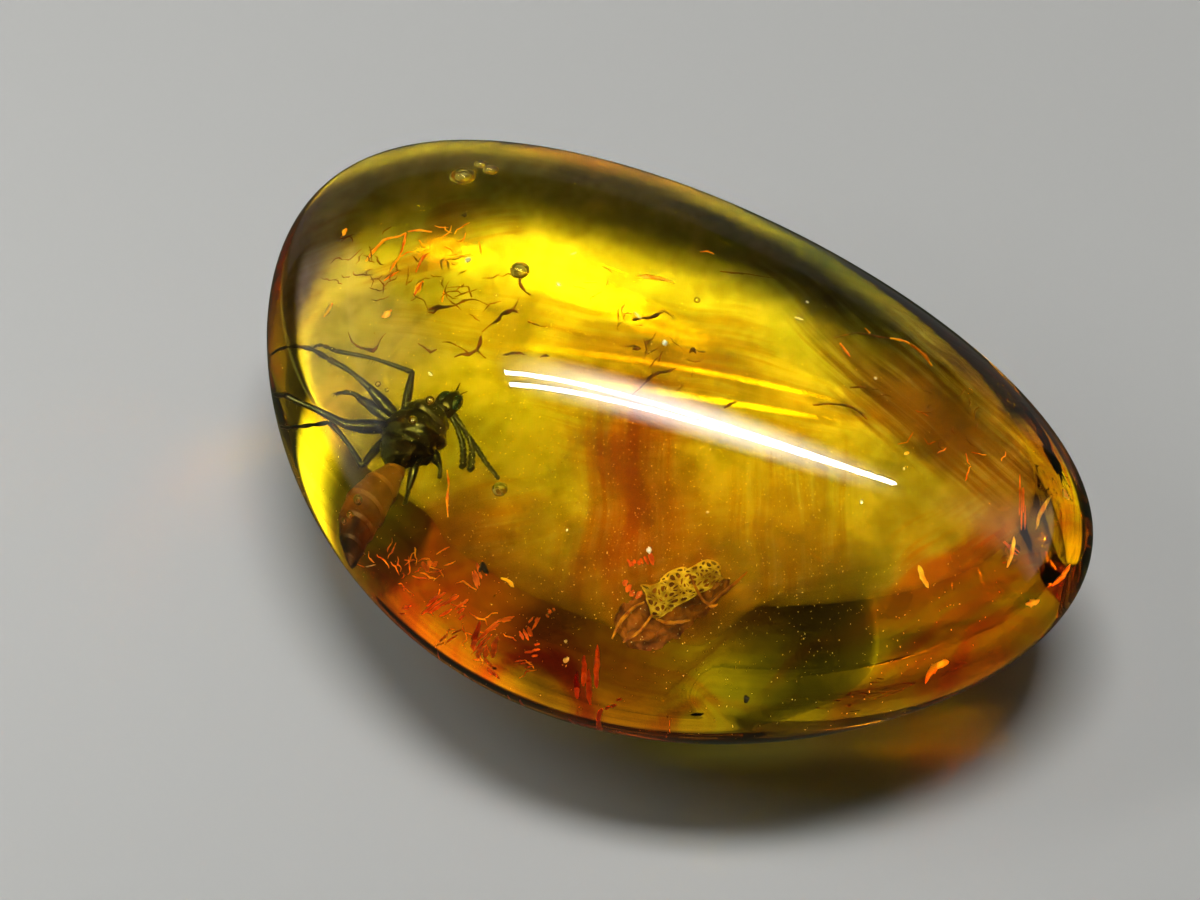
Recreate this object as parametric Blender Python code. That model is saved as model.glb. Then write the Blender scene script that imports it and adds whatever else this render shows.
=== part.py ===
# Insect in amber: a polished drop of clear amber that lies on its underside, with a small gnat-like fly
# and a scrap of plant sealed inside it. The drop is parted level through both of the things it holds,
# and each half has its share of the two pockets they lie in.
# The X axis runs along the drop, with the blunt end that holds the fly at -X, and Z is up.
# Lengths are in millimetres, and become metres as each mesh is made.

import math

import bmesh
import bpy
from mathutils import Vector

MM = 0.001

# The drop, as a ball stretched to three half axes and then shaped along its length.
HALF_LENGTH = 15.0
HALF_WIDTH = 9.98
WIDTH_SLOPE = 0.03       # the narrow end is this much wider, before the pinch
WIDTH_PINCH = -0.078     # both ends lose this much of their width
MIDLINE_BEND = 2.32      # how far both ends swing towards +Y
TOP_HEIGHT = 7.0
TOP_SLOPE = -0.30        # the top is lower at the narrow end
BOTTOM_DEPTH = 6.0
BOTTOM_SLOPE = -0.05
REST_CUT = 0.25          # how much of the underside is polished off flat
DROP_SEGMENTS = 60
DROP_RINGS = 30

# The level parting, above the rest flat, and the gap that keeps the halves apart.
GIRDLE = BOTTOM_DEPTH - REST_CUT
PARTING_GAP = 0.3

# The pockets, each a few overlapping hollows: centre and half axes.
INSECT_POCKETS = {
    "body_pocket": ((-5.6, -4.4, 5.55), (2.1, 3.8, 1.9)),
    "leg_pocket": ((-8.9, -2.75, 5.85), (3.3, 2.3, 1.3)),
    "feeler_pocket": ((-4.9, -2.5, 6.0), (3.3, 1.9, 1.4)),
}
FRAGMENT_POCKET = ((4.1, -4.8, 6.0), (2.1, 2.6, 1.2))
POCKET_SEGMENTS = 24
POCKET_RINGS = 12

# The fly: the middle line of each body part, from front to back, as (x, y, z) and radius.
HEAD = (
    ((-5.13, -1.62, 6.43), 0.07),
    ((-5.15, -1.78, 6.41), 0.22),
    ((-5.17, -1.98, 6.37), 0.33),
    ((-5.17, -2.20, 6.31), 0.34),
    ((-5.25, -2.42, 6.25), 0.20),
)
THORAX = (
    ((-5.33, -2.12, 6.24), 0.24),
    ((-5.40, -2.35, 6.20), 0.62),
    ((-5.48, -2.70, 6.12), 0.86),
    ((-5.55, -3.05, 6.03), 0.90),
    ((-5.57, -3.40, 5.92), 0.74),
    ((-5.53, -3.72, 5.80), 0.46),
    ((-5.50, -3.92, 5.72), 0.20),
)
ABDOMEN = (
    ((-5.48, -3.66, 5.74), 0.18),
    ((-5.50, -3.95, 5.68), 0.34),
    ((-5.58, -4.40, 5.60), 0.56),
    ((-5.72, -4.95, 5.50), 0.71),
    ((-5.82, -5.50, 5.38), 0.74),
    ((-5.85, -6.05, 5.22), 0.64),
    ((-5.82, -6.60, 5.05), 0.46),
    ((-5.80, -7.05, 4.92), 0.26),
    ((-5.79, -7.28, 4.86), 0.09),
)
BODY_SIDES = 20

# Its legs: hip, knee, end of the shin and joints of the foot, with the thigh's radius.
LEGS = {
    "fore_leg": ((-6.05, -2.75, 6.05), (-6.61, -1.58, 6.55), (-9.01, -1.40, 6.25),
                 ((-9.58, -1.26, 6.15), (-9.81, -1.40, 6.05)), 0.12),
    "middle_leg": ((-6.10, -2.75, 6.00), (-7.44, -2.28, 6.35), (-9.07, -1.76, 6.35),
                   ((-9.80, -1.52, 6.25), (-10.45, -1.49, 6.15), (-11.07, -1.67, 6.05),
                    (-11.70, -2.02, 5.95)), 0.15),
    "short_leg": ((-6.10, -2.80, 5.95), (-7.54, -2.38, 5.95), (-8.10, -2.23, 5.85),
                  ((-8.31, -2.35, 5.85),), 0.14),
    "hind_leg_front": ((-6.10, -2.85, 5.85), (-7.55, -3.33, 6.05), (-10.12, -2.85, 5.75),
                       ((-11.18, -3.36, 5.75),), 0.19),
    "hind_leg_back": ((-6.20, -2.90, 5.75), (-6.48, -3.91, 5.45), (-8.05, -2.94, 5.50),
                      ((-9.29, -3.48, 5.45), (-10.49, -4.05, 5.35)), 0.14),
    "far_leg_front": ((-5.20, -3.20, 5.75), (-4.92, -3.96, 5.25), (-4.80, -4.30, 5.10), (), 0.13),
    "far_leg_back": ((-5.00, -3.00, 5.75), (-4.50, -3.25, 5.55), (-4.30, -3.50, 5.40), (), 0.13),
}
LEG_SIDES = 8

# Its feelers, from the head out, as (x, y, z) and radius.
FEELERS = {
    "feeler_inner": (((-5.05, -2.15, 6.25), 0.06), ((-4.60, -2.40, 6.05), 0.07),
                     ((-4.15, -2.75, 5.90), 0.09), ((-3.80, -3.26, 5.75), 0.06)),
    "feeler_outer": (((-5.05, -2.08, 6.30), 0.06), ((-4.33, -2.41, 6.05), 0.07),
                     ((-3.92, -2.69, 5.95), 0.09), ((-3.21, -2.98, 5.85), 0.06),
                     ((-2.71, -3.18, 5.75), 0.05)),
    "palp_inner": (((-5.15, -1.85, 6.40), 0.05), ((-5.18, -1.62, 6.45), 0.04),
                   ((-5.22, -1.39, 6.50), 0.03)),
    "palp_outer": (((-5.10, -1.85, 6.38), 0.05), ((-5.03, -1.65, 6.38), 0.04),
                   ((-4.92, -1.46, 6.35), 0.03)),
}

# The scrap of plant: a thin curled plate, pointed at both ends, lying across the parting.
FRAGMENT_CENTRE = (4.1, -4.8, 6.05)
FRAGMENT_LENGTH = 3.6
FRAGMENT_WIDTH = 1.7
FRAGMENT_THICKNESS = 0.24
FRAGMENT_CURL = 0.35
FRAGMENT_RIDGE = 0.09
FRAGMENT_TURN = math.radians(64)
FRAGMENT_STEPS = (16, 8)


def clear_scene():
    for thing in list(bpy.data.objects):
        bpy.data.objects.remove(thing)


def make_material(name, colour, roughness, transmission=0.0):
    material = bpy.data.materials.new(name)
    material.use_nodes = True
    shader = material.node_tree.nodes["Principled BSDF"]
    shader.inputs["Base Color"].default_value = (*colour, 1.0)
    shader.inputs["Roughness"].default_value = roughness
    shader.inputs["Metallic"].default_value = 0.0
    shader.inputs["Transmission Weight"].default_value = transmission
    return material


def add_object(name, bm, material=None):
    # Scales the mesh from millimetres to metres and puts it in the scene.
    bmesh.ops.scale(bm, vec=(MM, MM, MM), verts=bm.verts)
    bmesh.ops.recalc_face_normals(bm, faces=bm.faces)
    mesh = bpy.data.meshes.new(name)
    bm.to_mesh(mesh)
    bm.free()
    mesh.shade_smooth()
    mesh.set_sharp_from_angle(angle=math.radians(40))
    if material:
        mesh.materials.append(material)
    thing = bpy.data.objects.new(name, mesh)
    bpy.context.scene.collection.objects.link(thing)
    return thing


def make_helper(thing):
    thing.hide_render = True
    thing.display_type = "WIRE"


def drop_point(direction):
    # Where the drop's surface lies in one direction from its middle, with the girdle at height 0.
    nx, ny, nz = direction
    width = HALF_WIDTH * (1 + WIDTH_SLOPE * nx + WIDTH_PINCH * nx * nx)
    top = TOP_HEIGHT * (1 + TOP_SLOPE * nx)
    bottom = BOTTOM_DEPTH * (1 + BOTTOM_SLOPE * nx)
    height = top if nz > 0 else bottom
    return Vector((HALF_LENGTH * nx, width * ny + MIDLINE_BEND * nx * nx, height * nz))


def drop_form():
    bm = bmesh.new()
    bmesh.ops.create_uvsphere(bm, u_segments=DROP_SEGMENTS, v_segments=DROP_RINGS, radius=1)
    for vertex in bm.verts:
        # The ball's poles lie on the X axis, at the drop's two ends.
        x, y, z = vertex.co.normalized()
        vertex.co = drop_point((z, x, y))
    lowest_y = min(vertex.co.y for vertex in bm.verts)
    highest_y = max(vertex.co.y for vertex in bm.verts)
    shift = Vector((0, -(lowest_y + highest_y) / 2, GIRDLE))
    bmesh.ops.translate(bm, vec=shift, verts=bm.verts)
    return bm


def cut_level(bm, height, keep_above):
    # Cuts the form at a height, drops one side and closes the cut with a flat face.
    everything = bm.verts[:] + bm.edges[:] + bm.faces[:]
    bmesh.ops.bisect_plane(
        bm, geom=everything, plane_co=(0, 0, height), plane_no=(0, 0, 1),
        clear_inner=keep_above, clear_outer=not keep_above)
    rim = [edge for edge in bm.edges if edge.is_boundary]
    bmesh.ops.holes_fill(bm, edges=rim, sides=0)


def make_amber(name, material, lower):
    bm = drop_form()
    if lower:
        cut_level(bm, 0, keep_above=True)
        cut_level(bm, GIRDLE - PARTING_GAP / 2, keep_above=False)
    else:
        cut_level(bm, GIRDLE + PARTING_GAP / 2, keep_above=True)
    return add_object(name, bm, material)


def make_pocket(name, centre, half_axes):
    bm = bmesh.new()
    bmesh.ops.create_uvsphere(bm, u_segments=POCKET_SEGMENTS, v_segments=POCKET_RINGS, radius=1)
    bmesh.ops.scale(bm, vec=half_axes, verts=bm.verts)
    bmesh.ops.translate(bm, vec=centre, verts=bm.verts)
    pocket = add_object(name, bm)
    make_helper(pocket)
    return pocket


def hollow(thing, pocket):
    cut = thing.modifiers.new(pocket.name, "BOOLEAN")
    cut.operation = "DIFFERENCE"
    cut.solver = "EXACT"
    cut.object = pocket


def tube(stations, sides):
    # A closed round body along a line of (point, radius) stations, with a flat end at each end.
    points = [Vector(point) for point, radius in stations]
    radii = [radius for point, radius in stations]
    bm = bmesh.new()
    rings = []
    across = Vector((0, 0, 1))
    for index, point in enumerate(points):
        ahead = points[min(index + 1, len(points) - 1)] - points[max(index - 1, 0)]
        ahead.normalize()
        across = (across - ahead * across.dot(ahead)).normalized()
        other = ahead.cross(across)
        ring = []
        for side in range(sides):
            angle = math.tau * side / sides
            spoke = across * math.cos(angle) + other * math.sin(angle)
            ring.append(bm.verts.new(point + spoke * radii[index]))
        rings.append(ring)
    for ring, following in zip(rings, rings[1:]):
        for side in range(sides):
            turn = (side + 1) % sides
            bm.faces.new((ring[side], ring[turn], following[turn], following[side]))
    bm.faces.new(rings[0])
    bm.faces.new(rings[-1])
    return bm


def leg_stations(hip, knee, ankle, foot, thigh):
    # A spindle-shaped thigh, a thin shin that thickens a little to its end, and a thread-like foot.
    middle = Vector(hip).lerp(Vector(knee), 0.55)
    calf = Vector(knee).lerp(Vector(ankle), 0.12)
    stations = [(hip, thigh * 0.75), (middle, thigh), (knee, thigh * 0.55), (calf, thigh * 0.45)]
    stations.append((ankle, thigh * 0.5))
    for step, point in enumerate(foot):
        stations.append((point, thigh * 0.32 * (1 - 0.08 * step)))
    return stations


def make_insect(material):
    # The thorax carries everything: the other parts are joined to it in one union.
    insect = add_object("insect", tube(THORAX, BODY_SIDES), material)
    limbs = bpy.data.collections.new("insect_limbs")
    shapes = {"head": tube(HEAD, BODY_SIDES), "abdomen": tube(ABDOMEN, BODY_SIDES)}
    for name, leg in LEGS.items():
        shapes[name] = tube(leg_stations(*leg), LEG_SIDES)
    for name, stations in FEELERS.items():
        shapes[name] = tube(stations, LEG_SIDES)
    for name, bm in shapes.items():
        limb = add_object(name, bm, material)
        make_helper(limb)
        limbs.objects.link(limb)
    join = insect.modifiers.new("limbs", "BOOLEAN")
    join.operation = "UNION"
    join.solver = "EXACT"
    join.operand_type = "COLLECTION"
    join.collection = limbs
    return insect


def fragment_point(along, across):
    # A point of the plate's middle face, from -1 to 1 along and across it.
    outline = (1 - along ** 4) ** 0.5 * (1 - 0.35 * along)
    x = FRAGMENT_LENGTH / 2 * along
    y = FRAGMENT_WIDTH / 2 * across * outline
    ridges = math.cos(3 * math.pi * across) * math.cos(5 * math.pi * along)
    z = FRAGMENT_CURL * (across * across - 0.4) + FRAGMENT_RIDGE * ridges * (1 - across * across)
    return Vector((x, y, z))


def make_fragment(material):
    steps_along, steps_across = FRAGMENT_STEPS
    ends = 0.94
    bm = bmesh.new()
    rows = []
    for i in range(steps_along + 1):
        along = ends * (2 * i / steps_along - 1)
        row = []
        for j in range(steps_across + 1):
            row.append(bm.verts.new(fragment_point(along, 2 * j / steps_across - 1)))
        rows.append(row)
    for row, following in zip(rows, rows[1:]):
        for j in range(steps_across):
            bm.faces.new((row[j], following[j], following[j + 1], row[j + 1]))
    turned = math.cos(FRAGMENT_TURN), math.sin(FRAGMENT_TURN)
    for vertex in bm.verts:
        x, y, z = vertex.co
        vertex.co = Vector((x * turned[0] - y * turned[1], x * turned[1] + y * turned[0], z))
    bmesh.ops.translate(bm, vec=FRAGMENT_CENTRE, verts=bm.verts)
    fragment = add_object("plant_fragment", bm, material)
    plate = fragment.modifiers.new("thickness", "SOLIDIFY")
    plate.thickness = FRAGMENT_THICKNESS * MM
    plate.offset = 0
    plate.use_even_offset = False
    return fragment


def main():
    clear_scene()
    amber = make_material("amber", (0.80, 0.42, 0.03), 0.04, transmission=1.0)
    chitin = make_material("insect_chitin", (0.05, 0.03, 0.02), 0.45)
    bark = make_material("dry_plant", (0.20, 0.08, 0.02), 0.8)

    halves = [make_amber("amber_lower", amber, lower=True), make_amber("amber_upper", amber, lower=False)]
    pockets = [make_pocket(name, *form) for name, form in INSECT_POCKETS.items()]
    pockets.append(make_pocket("fragment_pocket", *FRAGMENT_POCKET))
    for half in halves:
        for pocket in pockets:
            hollow(half, pocket)

    make_insect(chitin)
    make_fragment(bark)


main()
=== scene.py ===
import math
import random

import bmesh
import bpy
from mathutils import Matrix, Vector, noise


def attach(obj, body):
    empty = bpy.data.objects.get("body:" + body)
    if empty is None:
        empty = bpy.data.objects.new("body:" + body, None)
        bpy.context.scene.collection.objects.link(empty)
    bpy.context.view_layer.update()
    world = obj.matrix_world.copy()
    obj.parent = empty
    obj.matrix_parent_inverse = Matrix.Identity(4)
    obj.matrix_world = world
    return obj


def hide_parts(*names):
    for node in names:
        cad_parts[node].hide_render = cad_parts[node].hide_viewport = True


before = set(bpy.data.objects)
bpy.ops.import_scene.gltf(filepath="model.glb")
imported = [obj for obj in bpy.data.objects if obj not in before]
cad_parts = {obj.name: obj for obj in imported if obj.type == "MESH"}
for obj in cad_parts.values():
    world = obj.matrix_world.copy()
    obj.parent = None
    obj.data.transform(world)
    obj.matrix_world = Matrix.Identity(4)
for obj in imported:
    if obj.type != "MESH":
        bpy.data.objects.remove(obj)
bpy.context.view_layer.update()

mm = 0.001
thinnest = 0.004                # mm, so that no tube closes up


def linearColour(hexColour):
    channels = [int(hexColour[start:start + 2], 16) / 255 for start in (1, 3, 5)]
    return (*(
        value / 12.92 if value <= 0.04045 else ((value + 0.055) / 1.055) ** 2.4 for value in channels), 1)


def inMm(lengths):
    # from hundredths of a millimetre, in which the longer rows below are written
    return lengths / 100 if isinstance(lengths, (int, float)) else [inMm(length) for length in lengths]


def addNode(tree, kind, inputs=None, **settings):
    # shader nodes go by the rest of their names, so "Math" is ShaderNodeMath. An input is a number, a colour,
    # another node's socket, or a node, which stands for its first output.
    node = tree.nodes.new(kind if "Node" in kind else "ShaderNode" + kind)
    for name, value in settings.items():
        setattr(node, name, value)
    for socket, value in (inputs or {}).items():
        if isinstance(value, bpy.types.Node):
            value = value.outputs[0]
        if isinstance(value, bpy.types.NodeSocket):
            tree.links.new(value, node.inputs[socket])
        else:
            node.inputs[socket].default_value = value
    return node


def newMaterial(name):
    material = bpy.data.materials.new(name)
    material.use_nodes = True
    material.node_tree.nodes.clear()
    return material, material.node_tree


def solidMaterial(name, finish):
    # a tone that runs unevenly from one colour to the next, and where asked a fine relief
    material, tree = newMaterial(name)
    position = addNode(tree, "TexCoord").outputs["Object"]
    surface = dict(finish["surface"])
    if "tones" in finish:
        amount = addNode(tree, "TexNoise", {"Vector": position, **finish["blotches"]})
        if "paleEnd" in finish:
            parts = addNode(tree, "SeparateXYZ", {"Vector": position})
            slope = addNode(tree, "MapRange", {
                "Value": parts.outputs["Y"], "From Min": finish["darkEnd"] * mm,
                "From Max": finish["paleEnd"] * mm})
            amount = addNode(tree, "Math", {
                0: amount, 1: finish["unevenness"], 2: slope}, operation="MULTIPLY_ADD")
        surface["Base Color"] = tone = addNode(tree, "ValToRGB", {"Fac": amount})
        steps = tone.color_ramp.elements
        first, *between, last = finish["tones"]
        for step, (spot, colour) in zip(list(steps), (first, last)):
            step.position, step.color = spot, linearColour(colour)
        for spot, colour in between:
            steps.new(spot).color = linearColour(colour)
    if "grain" in finish:
        kind, grain, relief = finish["grain"]
        grain = addNode(tree, kind, {"Vector": position, **grain})
        surface["Normal"] = addNode(tree, "Bump", {"Height": grain, **relief})
    addNode(tree, "OutputMaterial", {"Surface": addNode(tree, "BsdfPrincipled", surface)})
    return material


def stainMaterial(name, dark, pale, roughness=0.7):
    # a matt crust or film, uneven in tone, with blotches of a third of a millimetre
    return solidMaterial(name, {
        "blotches": {"Scale": 3000, "Detail": 3}, "tones": ((0.35, dark), (0.65, pale)),
        "surface": {"Roughness": roughness}})


def addObject(name, data):
    thing = bpy.data.objects.new(name, data)
    bpy.context.scene.collection.objects.link(thing)
    return thing


def meshPiece(name, bm, material, smooth=True):
    mesh = bpy.data.meshes.new(name)
    bm.to_mesh(mesh)
    bm.free()
    if smooth:
        mesh.shade_smooth()
    mesh.materials.append(material)
    return addObject(name, mesh)


def place(piece, slot, *replaced):
    if replaced:
        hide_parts(*replaced)
    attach(piece, "root")


def turned(centre, x, y, z, turn):
    # a point that lies x, y, z from the centre, turned about Z, from mm to metres
    angle = math.radians(turn)
    return Vector((
        centre[0] + x * math.cos(angle) - y * math.sin(angle),
        centre[1] + x * math.sin(angle) + y * math.cos(angle), centre[2] + z)) * mm


def splinePath(stations, steps):
    # a smooth path through (x, y, z, radius) stations, with some steps between each two
    points = [Vector(station) for station in stations]
    points = [points[0] * 2 - points[1]] + points + [points[-1] * 2 - points[-2]]
    path = []
    for a, b, c, d in zip(points, points[1:], points[2:], points[3:]):
        for step in range(steps):
            t = step / steps
            path.append(0.5 * (
                2 * b + (c - a) * t + (2 * a - 5 * b + 4 * c - d) * t * t + (3 * b - a - 3 * c + d) * t ** 3))
    path.append(points[-2])
    return path


def addTube(bm, path, sides, swell=None, slot=0):
    # a closed round body along a path of 4-vectors; swell gives a factor by the place along and around it
    rings = []
    across = Vector((0.2, 0.1, 1))
    spots = [point.to_3d() for point in path]
    for index, spot in enumerate(spots):
        ahead = (spots[min(index + 1, len(spots) - 1)] - spots[max(index - 1, 0)]).normalized()
        across = (across - ahead * across.dot(ahead)).normalized()
        other = ahead.cross(across)
        along = index / (len(spots) - 1)
        ring = []
        for side in range(sides):
            angle = math.tau * side / sides
            radius = max(path[index].w, thinnest) * (swell(along, angle) if swell else 1)
            outward = across * math.cos(angle) + other * math.sin(angle)
            ring.append(bm.verts.new((spot + outward * radius) * mm))
        rings.append(ring)
    faces = []
    for ring, following in zip(rings, rings[1:]):
        for side in range(sides):
            turn = (side + 1) % sides
            faces.append(bm.faces.new((ring[side], ring[turn], following[turn], following[side])))
    for ring, spot, direction in (
            (rings[0], spots[0], spots[0] - spots[1]), (rings[-1], spots[-1], spots[-1] - spots[-2])):
        tip = bm.verts.new((spot + direction.normalized() * (ring[0].co / mm - spot).length * 0.6) * mm)
        for side in range(sides):
            turn = (side + 1) % sides
            corners = (ring[turn], ring[side], tip) if ring is rings[0] else (ring[side], ring[turn], tip)
            faces.append(bm.faces.new(corners))
    for face in faces:
        face.material_index = slot


def addBall(bm, centre, halfAxes, roughness=0, slot=0):
    ball = bmesh.ops.create_icosphere(bm, subdivisions=3, radius=1)["verts"]
    for vertex in ball:
        lump = 1 + roughness * noise.noise(vertex.co * 3 + Vector(centre))
        vertex.co = Vector([
            (centre[axis] + halfAxes[axis] * lump * vertex.co[axis]) * mm for axis in range(3)])
    faces = {face for vertex in ball for face in vertex.link_faces}
    for face in faces:
        face.material_index = slot
    return list(faces)


def newNodes(name, *numbers):
    # an empty geometry tree with a Geometry socket and some named number inputs
    tree = bpy.data.node_groups.new(name, "GeometryNodeTree")
    tree.interface.new_socket("Geometry", in_out="INPUT", socket_type="NodeSocketGeometry")
    for label in numbers:
        tree.interface.new_socket(label, in_out="INPUT", socket_type="NodeSocketFloat")
    tree.interface.new_socket("Geometry", in_out="OUTPUT", socket_type="NodeSocketGeometry")
    return tree, addNode(tree, "NodeGroupInput")


def closeNodes(tree, geometry, material):
    solid = addNode(tree, "GeometryNodeRealizeInstances", {"Geometry": geometry})
    coated = addNode(tree, "GeometryNodeSetMaterial", {"Geometry": solid, "Material": material})
    addNode(tree, "NodeGroupOutput", {"Geometry": coated})
    return tree


def plainMesh(piece):
    # turns what the piece's modifiers make into its own plain mesh
    depsgraph = bpy.context.evaluated_depsgraph_get()
    mesh = bpy.data.meshes.new_from_object(piece.evaluated_get(depsgraph))
    if mesh.materials and mesh.materials[0] is None:    # the slot that came before Set Material's own
        slots = [material for material in mesh.materials if material]
        mesh.materials.clear()
        for material in slots:
            mesh.materials.append(material)
        mesh.polygons.foreach_set("material_index", [0] * len(mesh.polygons))
    piece.modifiers.clear()
    piece.data = mesh


def attachNodes(piece, tree, **values):
    modifier = piece.modifiers.new(tree.name, "NODES")
    modifier.node_group = tree
    for item in tree.interface.items_tree:
        if item.item_type == "SOCKET" and item.in_out == "INPUT" and item.name in values:
            modifier[item.identifier] = values[item.name]
    plainMesh(piece)


amberDrop = {
    "halfLength": 15,           # all lengths in mm
    "halfWidth": 9.98,
    "widthSlope": 0.03,         # the narrow end is this much wider, before the pinch
    "widthPinch": -0.078,
    "midlineBend": 2.32,        # how far both ends swing sideways
    "topHeight": 7,
    "topSlope": -0.3,
    "bottomDepth": 6,
    "bottomSlope": -0.05,
    "restCut": 0.25,            # polished off flat underneath
    "fineness": 7,
    "ior": 1.54,
    "colourKept": (0.988, 0.93, 0, 1),
    "colourDepth": 220,         # how strongly the rest is taken, per metre
    # weathered places on its skin: centre, half axes, turn, comb, colour, strength and how streaky
    "skinCombs": (17, 60),
    "skinStains": (
        ((-3.6, -9.4, 6.3), (5.6, 1.3, 6.9), 164, 0, "#F8AC68", 0.8, 0.7),
        ((4.1, -9.5, 5.8), (6.7, 1.7, 4.7), -165, 0, "#F09C4C", 0.85, 0.5),
        ((13, -2.3, 7.1), (7.2, 1.6, 5), 64, 1, "#FFAC58", 0.9, 0.8),
        ((14.3, 2.8, 7.2), (4.2, 1.3, 2.7), 95, 1, "#FFB470", 0.8, 0.5),
        ((-5.1, 7.5, 10.3), (7, 4.3, 3.2), -160, 0, "#A46A38", 1, 0.15),
        ((5, 8.3, 8.9), (7.8, 2.5, 3), 169, 0, "#9C6A3C", 0.85, 0.3),
        ((11.6, 6.7, 7.5), (5.1, 2.3, 3.5), 144, 1, "#A0602C", 0.9, 0.3),
        ((-12.9, -1.2, 9.3), (4.8, 3.3, 6.5), 107, 0, "#ECAC58", 0.8, 0.3),
    ),
    # air bubbles: centre and radius, in hundredths of a mm
    "bubbles": (
        (-865, 329, 1027, 38), (-853, 409, 1008, 21), (-806, 395, 1021, 24), (-515, 116, 943, 28),
        (-475, -481, 1069, 14), (-498, -544, 1026, 14), (-591, -676, 727, 17), (-607, -694, 667, 14),
        (0, 306, 902, 10), (-689, -390, 900, 9), (-199, -469, 764, 21), (-651, -400, 904, 7),
        (-629, -654, 593, 10),
    ),
}


def dropPoint(direction, size=amberDrop):
    nx, ny, nz = direction
    width = size["halfWidth"] * (1 + size["widthSlope"] * nx + size["widthPinch"] * nx * nx)
    top = size["topHeight"] * (1 + size["topSlope"] * nx)
    bottom = size["bottomDepth"] * (1 + size["bottomSlope"] * nx)
    height = nz * (top if nz > 0 else bottom) + size["bottomDepth"] - size["restCut"]
    return Vector((size["halfLength"] * nx, width * ny + size["midlineBend"] * nx * nx, max(height, 0)))


stainGrain = {
    "wander": 2.2,              # how far stains stray from plain ovals, in mm
    "wanderScale": 260,         # per metre, as every scale here: swings of about 4 mm
    "streakWander": 0.5,
    "streakWidth": 0.24,
    "streakLength": 5,
    "mottleScale": 420,         # patches of about 2 mm
    "mottleFrom": 0.4,
    "mottleTo": 0.66,
    "mottleColour": "#B4B860",
    "edge": 0.9,                # how far in from its border a stain reaches its full strength
    "cut": 3,                   # how sharply its streaks end at its border
    "height": 6,                # where a level stain's oval is centred, and how far it reaches up and down
    "reach": 100,
}


def stainedColour(tree, combs, stains, mottle=0):
    # soft ovals of tint, broken into streaks that lie along one of the combs, each laid over the last
    position = addNode(tree, "TexCoord").outputs["Object"]
    wander = addNode(tree, "TexNoise", {
        "Vector": position, "Scale": stainGrain["wanderScale"], "Detail": 1})
    centred = addNode(tree, "VectorMath", {
        0: wander.outputs["Color"], 1: (0.5, 0.5, 0.5)}, operation="SUBTRACT")
    strayed, combed = (
        addNode(tree, "VectorMath", {
            0: centred, 1: (2 * stainGrain[far] * mm,) * 3, 2: position}, operation="MULTIPLY_ADD")
        for far in ("wander", "streakWander"))
    streaks = []
    for turn in combs:
        drawn = addNode(tree, "Mapping", {
            "Vector": combed, "Rotation": (0, 0, math.radians(turn)),
            "Scale": (stainGrain["streakLength"] * mm, stainGrain["streakWidth"] * mm, 0.01)},
            vector_type="TEXTURE")
        streaks.append(addNode(tree, "TexNoise", {
            "Vector": drawn, "Scale": 1, "Detail": 2, "Roughness": 0.6}))
    patches = addNode(tree, "TexNoise", {
        "Vector": position, "Scale": stainGrain["mottleScale"], "Detail": 3, "Roughness": 0.65})
    patchy = addNode(tree, "MapRange", {
        "Value": patches, "From Min": stainGrain["mottleFrom"], "From Max": stainGrain["mottleTo"],
        "To Max": mottle}, interpolation_type="SMOOTHSTEP")
    colour = addNode(tree, "MixRGB", {
        "Fac": patchy, "Color1": (1, 1, 1, 1), "Color2": linearColour(stainGrain["mottleColour"])},
        blend_type="MULTIPLY")
    for centre, halves, turn, comb, stain, strength, streaky in stains:
        # two numbers each for a film that lies nearly level, three for a place on the skin
        oval = addNode(tree, "Mapping", {
            "Vector": strayed, "Location": Vector((*centre, stainGrain["height"])[:3]) * mm,
            "Rotation": (0, 0, math.radians(turn)),
            "Scale": Vector((*halves, stainGrain["reach"])[:3]) * mm}, vector_type="TEXTURE")
        body = addNode(tree, "TexGradient", {"Vector": oval}, gradient_type="SPHERICAL")
        body = body.outputs["Fac"]
        broken = addNode(tree, "Math", {
            0: streaks[comb], 1: streaky * 2, 2: -streaky}, operation="MULTIPLY_ADD")
        both = addNode(tree, "Math", {0: body, 1: broken}, operation="ADD")
        amount = addNode(tree, "MapRange", {
            "Value": both, "From Max": stainGrain["edge"], "To Max": strength},
            interpolation_type="SMOOTHSTEP")
        # no stain beyond its oval, however the streaks fall
        inside = addNode(tree, "Math", {
            0: body, 1: stainGrain["cut"]}, operation="MULTIPLY", use_clamp=True)
        held = addNode(tree, "Math", {0: amount, 1: inside}, operation="MULTIPLY")
        colour = addNode(tree, "MixRGB", {
            "Fac": held, "Color1": colour, "Color2": linearColour(stain)}, blend_type="MULTIPLY")
    # a see-through surface takes the root of its colour, so the tint is squared
    return addNode(tree, "MixRGB", {
        "Fac": 1, "Color1": colour, "Color2": colour}, blend_type="MULTIPLY")


def clearResin(name, ior=1, kept=None, strength=0, **stained):
    # plain transmission, deeper in colour the further light travels in it, and with a stained skin if asked
    material, tree = newMaterial(name)
    ends = {"Surface": addNode(tree, "BsdfPrincipled", {
        "Base Color": stainedColour(tree, **stained) if stained else (1, 1, 1, 1),
        "Roughness": 0, "IOR": ior, "Transmission Weight": 1})}
    if kept:
        ends["Volume"] = addNode(tree, "VolumeAbsorption", {"Color": kept, "Density": strength})
    addNode(tree, "OutputMaterial", ends)
    return material


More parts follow.
